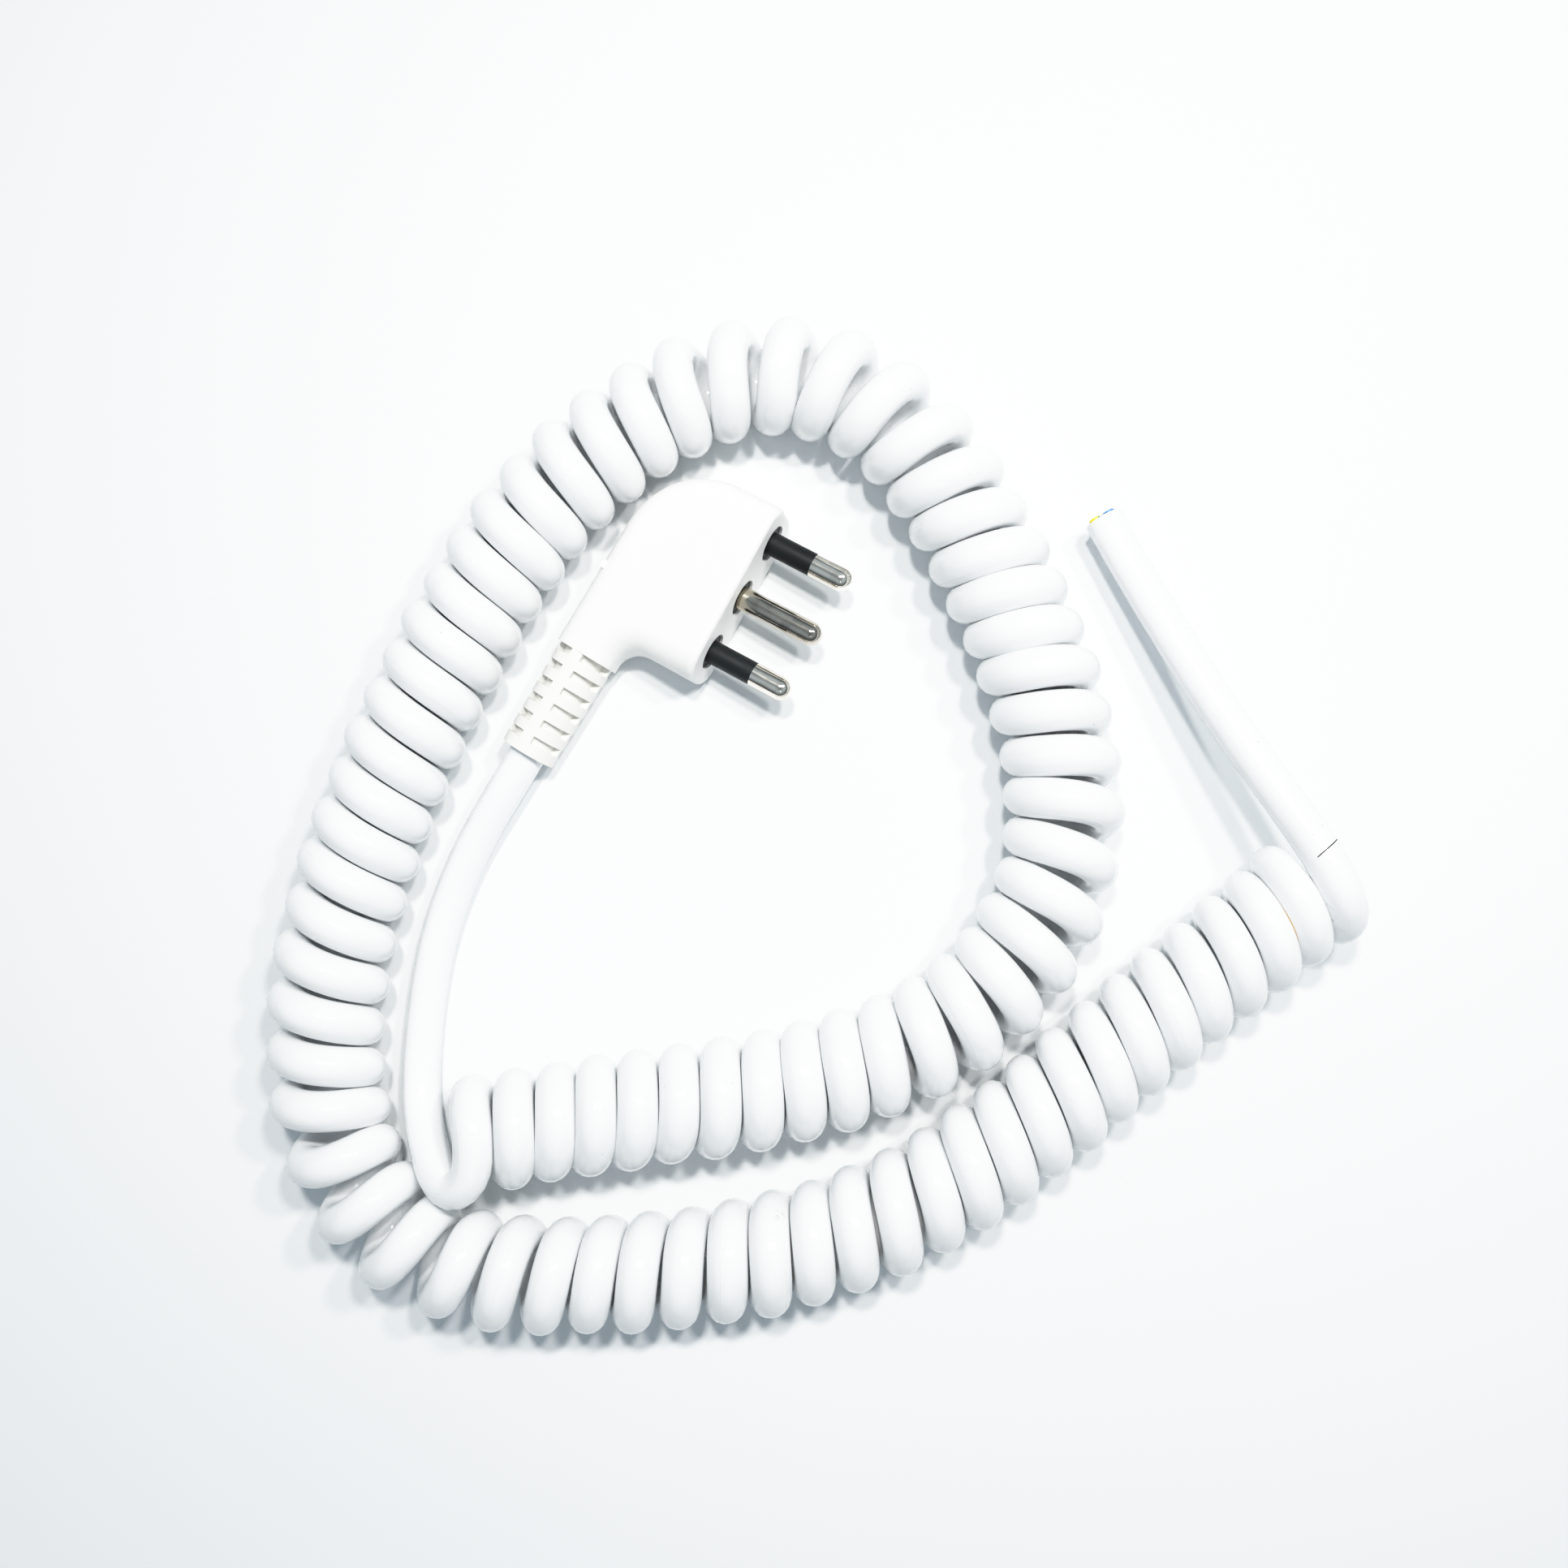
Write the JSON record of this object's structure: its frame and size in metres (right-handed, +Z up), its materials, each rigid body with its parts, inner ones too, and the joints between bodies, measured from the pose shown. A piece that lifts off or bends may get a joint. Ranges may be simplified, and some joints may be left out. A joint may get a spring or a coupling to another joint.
{
  "type": "power cord",
  "caption": "Curly white mains cord laid in a loop, with a flat right-angle plug on round pins at one end and a bare cut other end.",
  "frame": {"origin": "on the table, on the plug's lower flank, under the middle of the head's depth on the earth pin's line", "axes": "+X the way the pins point, seen from above; +Y along the row of pins, away from the cord; +Z up from the table"},
  "size_m": [0.1974, 0.2243, 0.0246],
  "materials": {
    "plug_moulding": "satin moulded soft plastic",
    "insert": "matt black",
    "sleeve": "smooth black",
    "pin_metal": "nickel plated and polished",
    "line_insulation": "brown",
    "neutral_insulation": "light blue",
    "earth_insulation": "green and yellow",
    "copper": "bare copper",
    "sheath": "glossy white"
  },
  "bodies": {
    "root": {"plug_body": "plug_moulding", "pin_bridge": "insert", "line_pin": "pin_metal", "neutral_pin": "pin_metal", "earth_pin": "pin_metal", "line_pin_sleeve": "sleeve", "neutral_pin_sleeve": "sleeve", "line_core": "line_insulation", "neutral_core": "neutral_insulation", "earth_core": "earth_insulation", "line_wire": "copper", "neutral_wire": "copper", "earth_wire": "copper", "cord_lead": "sheath", "cord_coil": "sheath", "cord_tail": "sheath"}
  },
  "joints": []
}
